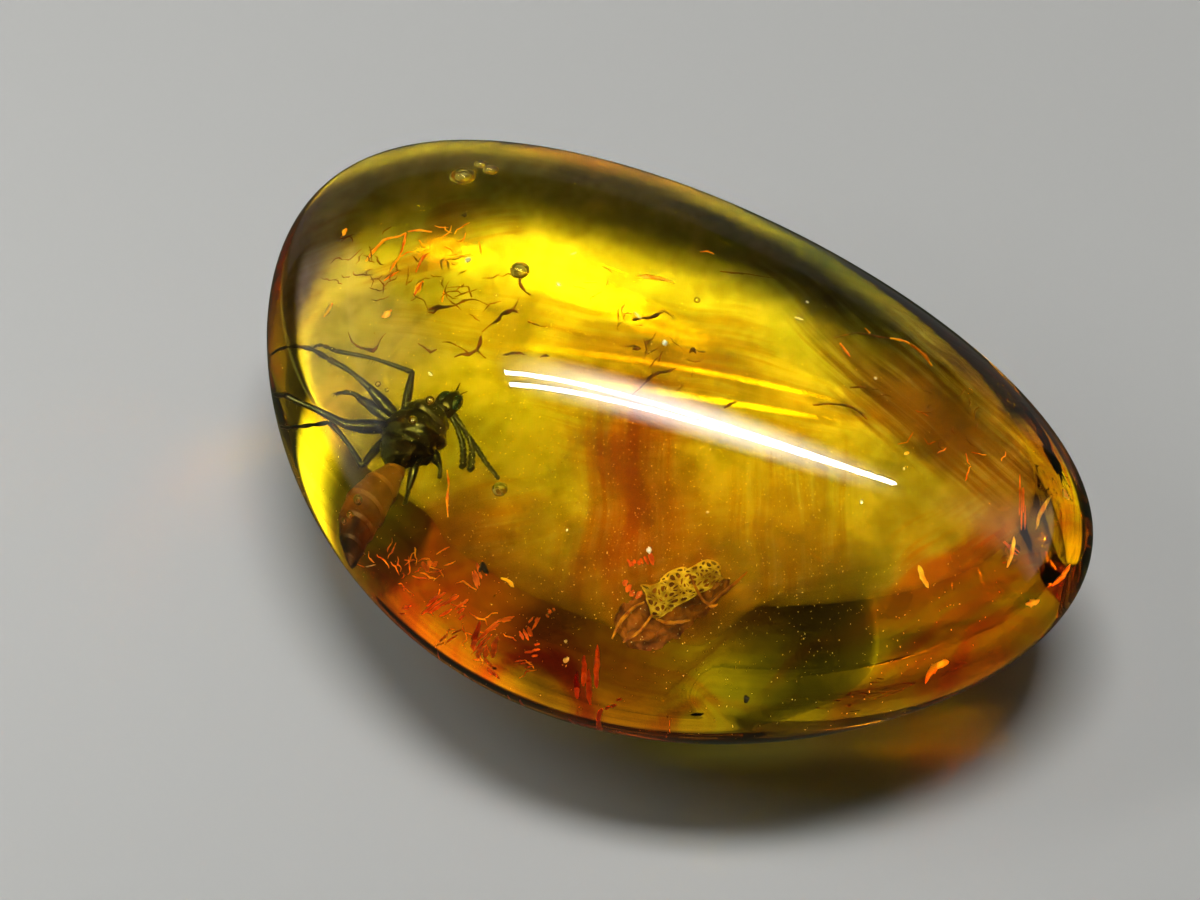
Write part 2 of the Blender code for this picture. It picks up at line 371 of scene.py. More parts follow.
def makeAmber():
    bm = bmesh.new()
    bmesh.ops.create_icosphere(bm, subdivisions=amberDrop["fineness"], radius=1)
    for vertex in bm.verts:
        vertex.co = dropPoint(vertex.co.normalized()) * mm
    for *centre, radius in inMm(amberDrop["bubbles"]):
        wall = addBall(bm, centre, (radius * 1.1, radius, radius * 0.9), roughness=0.12)
        # a bubble's wall faces into the air inside it
        bmesh.ops.reverse_faces(bm, faces=wall)
    # Baltic amber, tumbled and polished by hand: glass-clear, with a skin that air turned orange in places
    amber = clearResin(
        "clearBalticAmber", amberDrop["ior"], amberDrop["colourKept"], amberDrop["colourDepth"],
        combs=amberDrop["skinCombs"], stains=amberDrop["skinStains"])
    place(meshPiece("amberDrop", bm, amber), "amber", "amber_upper", "amber_lower")


print("amber drop")
makeAmber()

fly = {
    # in hundredths of a mm, each body as (x, y, z, radius) stations
    "head": (
        (-513, -162, 643, 7), (-515, -178, 641, 22), (-517, -198, 637, 33), (-517, -220, 631, 32),
        (-525, -242, 625, 16), (-532, -260, 620, 14),
    ),
    "thorax": (
        (-533, -212, 624, 20), (-540, -235, 620, 62), (-548, -270, 612, 86), (-555, -305, 603, 90),
        (-557, -340, 592, 74), (-553, -372, 580, 46), (-550, -392, 572, 20),
    ),
    "abdomen": (
        (-548, -366, 574, 18), (-550, -395, 568, 34), (-558, -440, 560, 56), (-572, -495, 550, 71),
        (-582, -550, 538, 74), (-585, -605, 522, 64), (-582, -660, 505, 46), (-580, -705, 492, 26),
        (-579, -728, 486, 9),
    ),
    "abdomenRings": 7,
    "eyes": (((-535.5, -199, 643), (20, 26, 25)), ((-497.5, -199, 643), (20, 26, 25))),
    # humps on the thorax: rear shield, side plates and the stumps of the balancers
    "plates": (
        ((-550, -342, 645), (34, 20, 20)), ((-602, -305, 615), (30, 34, 30)),
        ((-505, -275, 585), (32, 30, 34)), ((-498, -325, 572), (26, 22, 30)),
        ((-530, -232, 652), (30, 22, 14)), ((-620, -348, 600), (7, 16, 7)), ((-498, -362, 592), (7, 14, 7)),
        ((-572, -250, 645), (26, 26, 18)),
    ),
    # each leg: hip, knee, end of the shin, joints of the foot, and the thigh's radius
    "legs": (
        ((-605, -275, 605), (-661, -158, 655), (-901, -140, 625), ((-958, -126, 615), (-981, -140, 605)),
         12),
        ((-610, -275, 600), (-744, -228, 635), (-907, -176, 635), ((-980, -152, 625), (-1045, -149, 615),
         (-1107, -167, 605), (-1170, -202, 595)), 15),
        ((-610, -280, 595), (-754, -238, 595), (-810, -223, 585), ((-831, -235, 585),), 14),
        ((-610, -285, 585), (-755, -333, 605), (-1012, -285, 575), ((-1118, -336, 575),), 19),
        ((-620, -290, 575), (-648, -391, 545), (-805, -294, 550), ((-929, -348, 545), (-1049, -405, 535)),
         14),
        ((-520, -320, 575), (-492, -396, 525), (-480, -430, 510), (), 13),
        ((-500, -300, 575), (-450, -325, 555), (-430, -350, 540), (), 13),
    ),
    "feelers": (
        ((-505, -215, 625, 7), (-460, -240, 605, 6), (-415, -275, 590, 8), (-380, -326, 575, 10)),
        ((-505, -208, 630, 7), (-433, -241, 605, 6), (-392, -269, 595, 8), (-355, -326, 575, 10)),
        ((-433, -241, 605, 5), (-390, -261, 595, 6), (-321, -298, 585, 6), (-271, -318, 575, 5)),
    ),
    "palps": (
        ((-515, -185, 640, 5), (-518, -162, 645, 3.5), (-522, -139, 650, 1.5)),
        ((-510, -185, 638, 5), (-503, -165, 638, 3.5), (-492, -146, 635, 1.5)),
    ),
    "claw": 0.018,              # the rest in mm
    "bristleLength": 0.16,
    "bristleRadius": 0.011,
    "bristleDensity": 16,       # in each square mm
    "bristleLean": (0.15, -0.65, 0),
    # Insect cuticle, dark and hard: nearly black brown with a low waxy shine, paler where it is thin
    "cuticle": {
        "blotches": {"Scale": 2600, "Detail": 4, "Roughness": 0.6},     # per metre: about 0.4 mm
        "tones": ((0.4, "#07070B"), (0.56, "#1B171C"), (0.74, "#4A2E18")),
        "grain": ("TexNoise", {"Scale": 14000, "Detail": 2}, {"Strength": 0.5, "Distance": 3e-5}),
        "surface": {"Roughness": 0.28, "IOR": 1.56, "Coat Weight": 0.4, "Coat Roughness": 0.15},
    },
    # The thinner skin of the abdomen: amber light comes through it, so it is brown orange, paler to the front
    "softCuticle": {
        "blotches": {"Scale": 1800, "Detail": 4},
        "unevenness": 0.7,
        "darkEnd": -6.6,        # along Y
        "paleEnd": -4,
        "tones": ((0.35, "#170B0A"), (0.884615, "#8C5A26")),
        "surface": {"Roughness": 0.4, "IOR": 1.56},
    },
    # A fly's eye: many tiny lenses over a dark teal pigment, so it is glossy with a fine grain
    "eye": {
        "grain": ("TexVoronoi", {"Scale": 22000}, {"Strength": 0.6, "Distance": 2e-5}),
        "surface": {"Base Color": linearColour("#10292A"), "Roughness": 0.18, "IOR": 1.5},
    },
}


def thoraxSwell(along, angle):
    # sutures between its plates, and low ridges down its back
    seam = math.exp(-((along - 0.30) / 0.018) ** 2) + math.exp(-((along - 0.62) / 0.018) ** 2)
    ridges = 0.022 * math.cos(6 * angle) * math.sin(math.pi * along)
    flank = 0.05 * math.exp(-((along - 0.5) / 0.12) ** 2) * math.cos(2 * angle + 0.6)
    round3d = Vector((along * 4, math.cos(angle), math.sin(angle)))
    dents = 0.16 * noise.noise(round3d * 1.7) + 0.07 * noise.noise(round3d * 4.5)
    return 1 - 0.09 * seam + ridges + flank + dents


def abdomenSwell(along, angle):
    # each ring overlaps the next one
    ring = (along * fly["abdomenRings"]) % 1
    return 0.95 + 0.09 * ring ** 2.5 - 0.05 * math.exp(-(ring / 0.07) ** 2) + 0.015 * math.cos(2 * angle)


def beadSwell(beads, depth):
    return lambda along, angle: 1 + depth * (abs(math.sin(math.pi * beads * along)) - 0.6)


def addLeg(bm, hip, knee, ankle, foot, thigh):
    root = Vector(inMm(fly["thorax"][3][:3])).lerp(Vector(hip), 0.45)
    middle = Vector(hip).lerp(Vector(knee), 0.5)
    half = Vector(knee).lerp(Vector(ankle), 0.5) + Vector((0, 0.03, 0.04))
    # its parts, each as points with a share of the thigh's radius, then steps and sides
    for points, steps, sides in (
            (((root, 1.2), (hip, 1.15)), 5, 10), (((hip, 0.6), (middle, 1.05), (knee, 0.62)), 7, 12),
            (((knee, 0.58), (half, 0.4), (ankle, 0.52)), 7, 10)):
        addTube(bm, splinePath([(*point, thigh * share) for point, share in points], steps), sides)
    if not foot:
        return
    joints = [Vector(ankle)] + [Vector(point) for point in foot]
    path = splinePath([(*joint, thigh * (0.40 - 0.03 * step)) for step, joint in enumerate(joints)], 10)
    addTube(bm, path, 8, beadSwell(5, 0.5))
    tip, before = joints[-1], joints[-2]
    ahead = (tip - before).normalized()
    aside = ahead.cross(Vector((0, 0, 1))).normalized()
    for side in (-1, 1):
        hook = (tip, tip + ahead * 0.07 + aside * 0.05 * side,
                tip + ahead * 0.12 + aside * 0.03 * side - Vector((0, 0, 0.05)))
        hook = [(*point, fly["claw"] - 0.007 * step) for step, point in enumerate(hook)]
        addTube(bm, splinePath(hook, 3), 6)


def bristleNodes(material):
    # short stiff hairs that stand on a surface and lean back along the body
    tree, given = newNodes("bristles", "Density", "Length")
    spread = addNode(tree, "GeometryNodeDistributePointsOnFaces", {
        "Mesh": given, "Density": given.outputs["Density"], "Seed": 7})
    hair = addNode(tree, "GeometryNodeMeshCone", {
        "Vertices": 3, "Radius Top": 0, "Radius Bottom": fly["bristleRadius"] * mm,
        "Depth": given.outputs["Length"]})
    lean = addNode(tree, "VectorMath", {
        0: spread.outputs["Normal"], 1: fly["bristleLean"]}, operation="ADD")
    turn = addNode(tree, "FunctionNodeAlignRotationToVector", {"Vector": lean}, axis="Z")
    size = addNode(tree, "FunctionNodeRandomValue", {"Min": 0.4, "Max": 1.1, "Seed": 3})
    planted = addNode(tree, "GeometryNodeInstanceOnPoints", {
        "Points": spread, "Instance": hair, "Rotation": turn, "Scale": size.outputs[1]})
    return closeNodes(tree, planted, material)


def makeFly():
    bm = bmesh.new()
    addTube(bm, splinePath(inMm(fly["thorax"]), 8), 32, thoraxSwell)
    addTube(bm, splinePath(inMm(fly["head"]), 6), 24)
    addTube(bm, splinePath(inMm(fly["abdomen"]), 12), 32, abdomenSwell, slot=1)
    for plate in inMm(fly["plates"]):
        addBall(bm, *plate, roughness=0.35)
    for eye in inMm(fly["eyes"]):
        addBall(bm, *eye, slot=2)
    for leg in inMm(fly["legs"]):
        addLeg(bm, *leg)
    for feeler in inMm(fly["feelers"]):
        addTube(bm, splinePath(feeler, 14), 10, beadSwell(13, 0.55))
    for palp in inMm(fly["palps"]):
        addTube(bm, splinePath(palp, 5), 8)
    cuticle = solidMaterial("darkChitin", fly["cuticle"])
    body = meshPiece("fly", bm, cuticle)
    body.data.materials.append(solidMaterial("softBrownCuticle", fly["softCuticle"]))
    body.data.materials.append(solidMaterial("facetedEye", fly["eye"]))
    bristles = addObject("flyBristles", body.data.copy())
    attachNodes(bristles, bristleNodes(cuticle), Density=fly["bristleDensity"] * 1e6,
                Length=fly["bristleLength"] * mm)
    place(body, "chitin", "insect")
    place(bristles, "chitin")


print("fly")
makeFly()

cracks = {
    # points as (x, y, z, half thickness) in hundredths of a mm, where rusty films healed in the resin
    "iron": (
        ((-687, -96, 899, 3), (-678, -90, 902, 6), (-666, -82, 905, 10), (-647, -76, 908, 5),
         (-620, -59, 913, 3), (-609, -41, 918, 5), (-593, -28, 921, 4), (-570, -22, 923, 2),
         (-526, -25, 922, 1)),
        ((-666, -82, 905, 6), (-666, -102, 899, 3), (-685, -105, 896, 1.5)),
        ((-620, -59, 913, 3), (-597, -68, 912, 1)),
        ((-679, -22, 919, 1.5), (-654, -9, 924, 2), (-623, 6, 928, 2), (-592, -20, 923, 3)),
        ((-501, -104, 904, 2), (-492, -76, 910, 2), (-479, -50, 916, 6), (-480, -32, 920, 6),
         (-470, -21, 922, 9), (-458, -8, 924, 6), (-441, -7, 923, 3)),
        ((-458, -8, 924, 3), (-460, 17, 928, 2), (-464, 34, 931, 1)),
        ((-533, -199, 875, 2), (-517, -183, 880, 4), (-495, -175, 883, 8), (-483, -157, 889, 5),
         (-487, -136, 895, 8), (-497, -116, 901, 3)),
        ((-483, -157, 889, 3), (-445, -168, 885, 2)),
        ((-495, -175, 883, 3), (-523, -169, 885, 2), (-570, -164, 885, 3), (-592, -171, 881, 1)),
        ((-658, -194, 867, 1), (-629, -201, 867, 3), (-606, -207, 867, 5), (-594, -194, 873, 2)),
        ((-885, -201, 810, 1), (-855, -225, 806, 3), (-828, -236, 809, 3), (-800, -239, 817, 4),
         (-772, -241, 824, 10), (-769, -227, 832, 3), (-773, -205, 842, 2), (-767, -190, 851, 1)),
        ((-398, -19, 919, 3), (-377, -19, 918, 3), (-355, -16, 917, 2), (-332, -8, 917, 1)),
        ((-503, 99, 941, 4), (-488, 75, 938, 5), (-457, 60, 934, 3), (-438, 58, 933, 5)),
        ((-404, -141, 892, 2), (-384, -125, 895, 5), (-363, -115, 897, 5), (-343, -113, 896, 1)),
        ((-303, -101, 896, 2), (-291, -88, 898, 5), (-278, -85, 898, 1)),
        ((-688, -99, 898, 1), (-718, -76, 902, 2), (-746, -74, 899, 2), (-762, -66, 900, 1)),
        ((-980, -149, 798, 2), (-986, -158, 788, 1)),
        ((-1, 446, 891, 2), (41, 469, 883, 5), (75, 493, 875, 3), (109, 511, 867, 2), (151, 536, 857, 1)),
        ((420, 450, 830, 2), (442, 484, 822, 4), (463, 513, 815, 5), (497, 539, 804, 4), (533, 556, 795, 4),
         (559, 576, 786, 5)),
        ((485, 201, 821, 3), (514, 227, 816, 5), (548, 251, 811, 4), (582, 268, 805, 6), (618, 270, 798, 5),
         (648, 263, 792, 3)),
        ((551, 323, 812, 3), (575, 346, 807, 5), (592, 355, 804, 2)),
        ((609, 364, 800, 2), (625, 376, 797, 3)),
        ((1, -73, 869, 2), (10, -42, 873, 4), (14, -25, 876, 3), (21, 9, 880, 6), (35, 32, 881, 8),
         (56, 45, 880, 6), (69, 69, 881, 3)),
        ((111, 7, 866, 3), (117, 37, 869, 2)), ((261, 37, 846, 3), (270, 58, 847, 7), (280, 76, 847, 3)),
        ((-77, 52, 899, 2), (-64, 60, 898, 8), (-56, 69, 898, 2)),
        ((77, 133, 886, 2), (80, 151, 887, 9), (95, 144, 884, 2)),
        ((-127, 136, 914, 4), (-112, 154, 913, 6), (-87, 170, 911, 5), (-77, 189, 911, 7),
         (-64, 209, 910, 3)),
    ),
    # orange stained cracks, drawn bright as if lit: a real stain with a painted glint
    "ember": (
        ((-966, 13, 847, 3), (-965, 38, 856, 6), (-961, 61, 864, 5), (-956, 82, 871, 7), (-943, 92, 876, 6),
         (-918, 104, 883, 4), (-907, 118, 888, 5)),
        ((-907, 118, 888, 4), (-892, 86, 884, 5), (-883, 64, 881, 3), (-876, 39, 876, 4),
         (-878, 19, 870, 5), (-874, -6, 863, 2)),
        ((-800, 12, 880, 2), (-808, 44, 886, 4), (-809, 65, 891, 5), (-801, 78, 894, 2)),
        ((-906, 125, 889, 3), (-874, 138, 896, 5), (-837, 143, 901, 3)),
        ((-856, 107, 893, 2), (-823, 89, 894, 3)),
        ((-874, -35, 853, 2), (-862, -14, 863, 5), (-850, 2, 870, 2)),
        ((-760, -55, 865, 2), (-764, -30, 872, 6), (-763, -7, 879, 4)),
        ((-672, -47, 875, 2), (-686, -12, 883, 4)), ((-992, -141, 756, 2), (-988, -107, 781, 4)),
        ((-813, -132, 828, 3), (-805, -118, 835, 10), (-796, -108, 841, 4)),
        ((-1093, 76, 823, 1), (-1099, 107, 830, 3)),
        ((551, 582, 760, 4), (594, 607, 748, 6), (631, 609, 741, 7), (672, 603, 735, 8), (711, 580, 733, 4)),
        ((435, 455, 796, 4), (461, 443, 793, 5), (485, 433, 789, 2)),
        ((469, 561, 778, 2), (492, 554, 775, 5)),
        ((-381, -449, 723, 3), (-354, -480, 706, 4), (-339, -512, 686, 5), (-312, -546, 664, 2)),
        ((-100, 483, 865, 2), (-83, 502, 859, 4), (-61, 503, 857, 2)),
    ),
    "ragged": 0.05,             # mm
    "raggedScale": 6000,        # per metre
}


def crackNodes(material):
    # threads of uneven thickness along the piece's edges
    tree, given = newNodes("crackThreads", "Ragged", "Seed")
    lines = addNode(tree, "GeometryNodeMeshToCurve", {"Mesh": given})
    fine = addNode(tree, "GeometryNodeResampleCurve", {"Curve": lines, "Count": 16})
    girth = addNode(tree, "GeometryNodeInputNamedAttribute", {"Name": "girth"}, data_type="FLOAT")
    wobble = addNode(tree, "TexNoise", {
        "Vector": addNode(tree, "GeometryNodeInputPosition"), "W": given.outputs["Seed"],
        "Scale": cracks["raggedScale"], "Detail": 3}, noise_dimensions="4D")
    centred = addNode(tree, "VectorMath", {
        0: wobble.outputs["Color"], 1: (0.5, 0.5, 0.5)}, operation="SUBTRACT")
    scaled = addNode(tree, "VectorMath", {
        0: centred, "Scale": given.outputs["Ragged"]}, operation="SCALE")
    bent = addNode(tree, "GeometryNodeSetPosition", {"Geometry": fine, "Offset": scaled})
    uneven = addNode(tree, "Math", {0: girth, 1: wobble}, operation="MULTIPLY")
    profile = addNode(tree, "GeometryNodeCurvePrimitiveCircle", {"Resolution": 6, "Radius": 1.8})
    body = addNode(tree, "GeometryNodeCurveToMesh", {
        "Curve": bent, "Profile Curve": profile, "Scale": uneven, "Fill Caps": True})
    return closeNodes(tree, body, material)


def threadPiece(name, lines, material, seed, slot):
    mesh = bpy.data.meshes.new(name)
    points, edges, girths = [], [], []
    for line in lines:
        for index, (x, y, z, girth) in enumerate(line):
            if index:
                edges.append((len(points) - 1, len(points)))
            points.append((x * mm, y * mm, z * mm))
            girths.append(girth * mm)
    mesh.from_pydata(points, edges, [])
    mesh.attributes.new("girth", "FLOAT", "POINT").data.foreach_set("value", girths)
    piece = addObject(name, mesh)
    attachNodes(piece, crackNodes(material), Ragged=cracks["ragged"] * mm, Seed=seed)
    piece.data.shade_smooth()
    place(piece, slot)


print("cracks")
# Rust and bark tannin that seeped along a healed crack, and an orange stained crack whose bright pale tone is
# a painted glint
rust = stainMaterial("rustFilm", "#2A1003", "#6B3206")
# painted glint: the bright orange to pale yellow stands in for light caught by the crack faces
ember = stainMaterial("emberFilmPaintedGlint", "#D2490A", "#FFB21E", 0.4)
threadPiece("rustyCracks", inMm(cracks["iron"]), rust, 1.0, "plant")
threadPiece("emberCracksPaintedGlint", inMm(cracks["ember"]), ember, 5.0, "amber")

hairlines = {
    # bundles of short jagged cracks: where, how far they spread, how many
    "iron": (
        ((-9.3, -0.2, 8.6), (1.2, 0.9, 0.3), 26), ((-6.6, 0.2, 9.1), (1.4, 0.9, 0.2), 22),
        ((-2.2, 1.6, 9.2), (1.5, 0.7, 0.2), 10), ((0.6, 0.6, 9), (1.8, 0.8, 0.2), 12),
        ((8.6, 4.6, 7.2), (1.8, 0.8, 0.4), 12),
    ),
    "ember": (
        ((-7.6, 1.6, 8.9), (0.8, 0.6, 0.3), 10), ((9, 3.4, 7.4), (2.2, 1.2, 0.5), 8),
        ((-3.6, -6.2, 5.2), (1.2, 0.7, 0.4), 24), ((-1.2, -7, 4.6), (1.4, 0.6, 0.4), 16),
    ),
    "length": (0.06, 0.2),
    "girth": 0.02,
}


def drawHairlines(name, seed):
    # each crack turns a little at every step, and thins towards both ends
    draw = random.Random(seed)
    lines = []
    for centre, spread, count in hairlines[name]:
        for step in range(count):
            x, y, z = (draw.gauss(centre[axis], spread[axis] * 0.6) for axis in range(3))
            heading, line = draw.uniform(0, math.tau), []
            bends = draw.randint(3, 5)
            for bend in range(bends + 1):
                thin = 0.25 + math.sin(math.pi * (bend + 0.3) / (bends + 0.6))
                line.append((x, y, z, hairlines["girth"] * thin))
                heading += draw.choice((-0.8, -0.1, 0.1, 0.7))
                reach = draw.uniform(*hairlines["length"])
                x, y = x + reach * math.cos(heading), y + reach * math.sin(heading)
                z += draw.uniform(-0.05, 0.05)
            lines.append(line)
    return lines


print("hairlines")
threadPiece("rustyHairlines", drawHairlines("iron", 5), rust, 2.0, "plant")
threadPiece("emberHairlinesPaintedGlint", drawHairlines("ember", 6), ember, 3.0, "amber")

clouds = {
    # centre, half axes, turn about Z in degrees, colour kept and how strongly the rest is taken, per metre
    "redCloud": ((1.9, -3.4, 8.4), (1.7, 3, 1.5), 20, (0.75, 0.2, 0, 1), 180),
    "brownCloud": ((0.1, 0.6, 8.6), (2.2, 1.6, 0.9), 20, (0.8, 0.45, 0, 1), 140),
    "lowerLeftCloud": ((-1.2, -6, 4.6), (4.2, 1.9, 1.9), -12, (0.8, 0.15, 0, 1), 90),
    "lowerRightCloud": ((9.6, 0.3, 6), (3, 2.2, 1.3), 40, (0.85, 0.2, 0, 1), 90),
    "rightCloud": ((7.4, 4.6, 6.8), (3.4, 1.8, 1.2), 15, (0.8, 0.45, 0, 1), 120),
}


def makeCloud(name, centre, halfAxes, turn, kept, strength):
    bm = bmesh.new()
    bmesh.ops.create_icosphere(bm, subdivisions=5, radius=1)
    for vertex in bm.verts:
        lump = 1 + 0.28 * noise.noise(vertex.co * 1.7 + Vector(centre)) + 0.10 * noise.noise(vertex.co * 4.5)
        vertex.co = turned(centre, *(vertex.co[axis] * halfAxes[axis] * lump for axis in range(3)), turn)
    # resin that reddened where air reached it: as clear as the rest, with no border to be seen
    place(meshPiece(name, bm, clearResin(name + "Resin", kept=kept, strength=strength)), "amber")


print("clouds")
for name, cloud in clouds.items():
    makeCloud(name, *cloud)

films = {
    # skins between two flows of resin. Level: from -1, the foot of the drop, to 1, its top.
    # Combs are the ways that streaks run, in degrees about Z. A stain: centre, half length and half width
    # in mm, turn, the comb of its streaks, the colour it lets through, strength, how far streaks break it up.
    "lowFilm": {
        "level": -0.24,
        "rise": 0.3,            # towards the far side
        "combs": (125, 63, -15, 32),
        "stains": (
            ((2.1, -3.2), (9, 3.7), 25, 3, "#E4C070", 0.9, 0.3),
            ((0.2, -1), (4.1, 2.6), 131, 0, "#E49C54", 0.8, 0.6),
            ((-0.3, -0.6), (2.8, 1.2), 129, 0, "#E88C50", 0.55, 0.7),
            ((-3.7, -3.7), (2.2, 2.3), 63, 3, "#ECAC60", 0.8, 0.5),
            ((-2.6, -5.2), (3.8, 1.5), -19, 2, "#F09448", 0.9, 0.7),
            ((0.2, -5.9), (4.2, 0.6), -2, 2, "#E07634", 0.95, 0.7),
            ((4, -5.4), (4.8, 0.3), 17, 2, "#E09450", 0.8, 0.5),
            # painted shade: these two olive ovals darken and green the resin over the dimly lit board
            ((6.7, -1.4), (3.8, 1.6), 31, 3, "#A4A85C", 0.85, 0.3),
            ((0.7, -4.4), (2.4, 1.3), 18, 3, "#B8B050", 0.6, 0.3),
            ((9.4, -0.3), (5.7, 0.9), 58, 1, "#FFA850", 0.8, 0.9),
            ((10.8, 0.8), (4.6, 2.6), 64, 1, "#FFBC70", 0.7, 0.6),
            ((11.6, -0.4), (4.1, 0.3), 53, 1, "#FCA048", 0.8, 0.6),
            ((11, 3.4), (3.6, 2.8), 87, 1, "#F0B460", 0.6, 0.6),
            ((4.9, 0.8), (3.5, 2.4), 128, 0, "#E0BC50", 0.8, 0.9),
            ((3.5, -2.8), (1.8, 1.5), 76, 1, "#D89850", 0.7, 0.5),
        ),
    },
    "highFilm": {
        "level": 0.29,
        "rise": 0,
        "combs": (17, -12, 42),
        "stains": (
            ((-0.3, 1.6), (4.3, 2.4), 17, 0, "#DCB058", 0.8, 0.7),
            ((3.3, 1.8), (5.6, 1.7), 19, 0, "#E8C860", 0.7, 1),
            ((7.7, 4.6), (5.3, 3.1), -7, 1, "#C08C40", 0.95, 0.7),
            ((12, 5.7), (3.2, 2.8), -32, 1, "#C07C34", 0.9, 0.5),
            ((4.1, 5.6), (4.6, 1.8), 6, 1, "#B8A044", 0.7, 0.6),
            ((-8.3, 1.4), (2.4, 1), 47, 2, "#CC7C2C", 0.7, 0.6),
            ((-5, 0.1), (3.6, 1.6), 33, 0, "#DCB850", 0.5, 0.8),
            ((0.6, -1.2), (3.3, 1.3), 20, 0, "#CC8C40", 0.6, 0.7),
            # painted shade: these two dull green ovals darken the far side, where the board under it lies in
            # the drop's shadow
            ((1.6, 8.8), (9.6, 2.7), -8, 0, "#60784C", 0.95, 0.2),
            ((-9.5, 7), (5, 2), 40, 2, "#98A060", 0.6, 0.2),
        ),
    },
    "reach": 0.96,              # how near its edge comes to the outside
    "sag": 0.05,
    "thickness": 0.02,
    "mottle": 0.5,
    "squares": 72,
}


def addWall(piece, thickness, rim=0):
    wall = piece.modifiers.new("thickness", "SOLIDIFY")
    wall.thickness = thickness * mm
    wall.offset = 0
    wall.material_offset = wall.material_offset_rim = rim


def makeFilm(name, level, rise, combs, stains, underside):
    bm = bmesh.new()
    bmesh.ops.create_grid(bm, x_segments=films["squares"], y_segments=films["squares"], size=1)
    for vertex in bm.verts:
        x, y = vertex.co.x, vertex.co.y
        # a square grid drawn out to a disc
        x, y = x * math.sqrt(1 - y * y / 2), y * math.sqrt(1 - x * x / 2)
        sag = films["sag"] * noise.noise(Vector((x * 1.6, y * 1.6, level * 9))) * (1 - x * x - y * y)
        height = level + rise * y + sag
        across = films["reach"] * math.sqrt(1 - height * height)
        vertex.co = dropPoint(Vector((x * across, y * across, height))) * mm
    # tannin that bled over the skin of a flow before the next one covered it: a clear tint, drawn out; its
    # olive and dull green ovals are painted shade
    stain = clearResin(name + "StainAndPaintedShade", combs=combs, stains=stains, mottle=films["mottle"])
    film = meshPiece(name, bm, stain)
    film.data.materials.append(underside)
    addWall(film, films["thickness"], 1)
    plainMesh(film)
    place(film, "amber")


print("films")
underside = clearResin("clearResinSkin")    # which can't be told from the resin
for name in ("lowFilm", "highFilm"):
    makeFilm(name, **films[name], underside=underside)


scrap = {
    "centre": (4.1, -4.8, 6.05),
    "length": 3.6,
    "width": 1.7,
    "thickness": 0.16,
    "curl": 0.35,
    "turn": 64,                 # degrees
    "squares": (60, 26),
    # a crust of veins over part of it: from where to where along and across, squares, lift and thread
    "netAlong": (-0.3, 0.92),
    "netAcross": (0, 1.05),
    "netSquares": (11, 5),
    "netLift": 0.17,
    "netThread": 0.085,
    "stalks": (                 # (x, y, z, radius) stations in hundredths of a mm
        ((408, -393, 650, 3), (453, -426, 650, 4.5), (486, -446, 650, 4), (520, -451, 650, 5),
         (532, -437, 650, 2)),
        ((508, -465, 650, 3), (522, -408, 650, 4), (540, -353, 650, 4.5), (552, -304, 650, 2)),
        ((398, -567, 650, 2), (436, -562, 650, 6), (465, -542, 650, 5), (488, -522, 650, 2)),
        ((306, -660, 615, 3), (300, -605, 620, 6), (310, -550, 625, 5), (330, -520, 630, 3)),
        ((340, -655, 615, 3), (366, -602, 620, 5), (373, -545, 630, 4)),
    ),
    # Dead leaf tissue, browned and half dissolved by the resin: matt, with veins and pits
    "tissue": {
        "blotches": {"Scale": 1500, "Detail": 4},       # per metre: about 0.7 mm
        "tones": ((0.36, "#571F07"), (0.7, "#A85A10")),
        "grain": ("TexVoronoi", {"Scale": 5200}, {"Strength": 0.8, "Distance": 6e-5}),
        "surface": {"Roughness": 0.75},
    },
}


def scrapPoint(along, across, lift):
    # a point of the scrap's middle face, from -1 to 1 along and across it
    outline = (1 - along ** 4) ** 0.5 * (1 - 0.35 * along)
    ragged = 0.94 + 0.22 * noise.noise(Vector((along * 7, across * 2.5, 3)))
    ragged += 0.10 * noise.noise(Vector((along * 22, across * 5, 8)))
    x = scrap["length"] / 2 * along
    y = scrap["width"] / 2 * across * outline * ragged
    ridges = math.cos(3 * math.pi * across) * math.cos(5 * math.pi * along)
    z = scrap["curl"] * (across * across - 0.4) + 0.09 * ridges * (1 - across * across)
    z += 0.05 * noise.noise(Vector((along * 9, across * 6, 0))) + lift
    return turned(scrap["centre"], x, y, z, scrap["turn"])


def scrapGrid(bm, alongRange, acrossRange, steps, lift):
    rows = []
    for i in range(steps[0] + 1):
        along = alongRange[0] + (alongRange[1] - alongRange[0]) * i / steps[0]
        row = []
        for j in range(steps[1] + 1):
            across = acrossRange[0] + (acrossRange[1] - acrossRange[0]) * j / steps[1]
            spots = (i * 0.7, j * 0.9, 1.5), (i * 0.8, j, 7.5)
            jitter = Vector([noise.noise(Vector(spot)) for spot in spots]) * (0.2 if lift else 0)
            row.append(bm.verts.new(scrapPoint(
                max(-0.95, min(0.95, along + jitter.x)), across + jitter.y, lift)))
        rows.append(row)
    for row, following in zip(rows, rows[1:]):
        for j in range(steps[1]):
            bm.faces.new((row[j], following[j], following[j + 1], row[j + 1]))


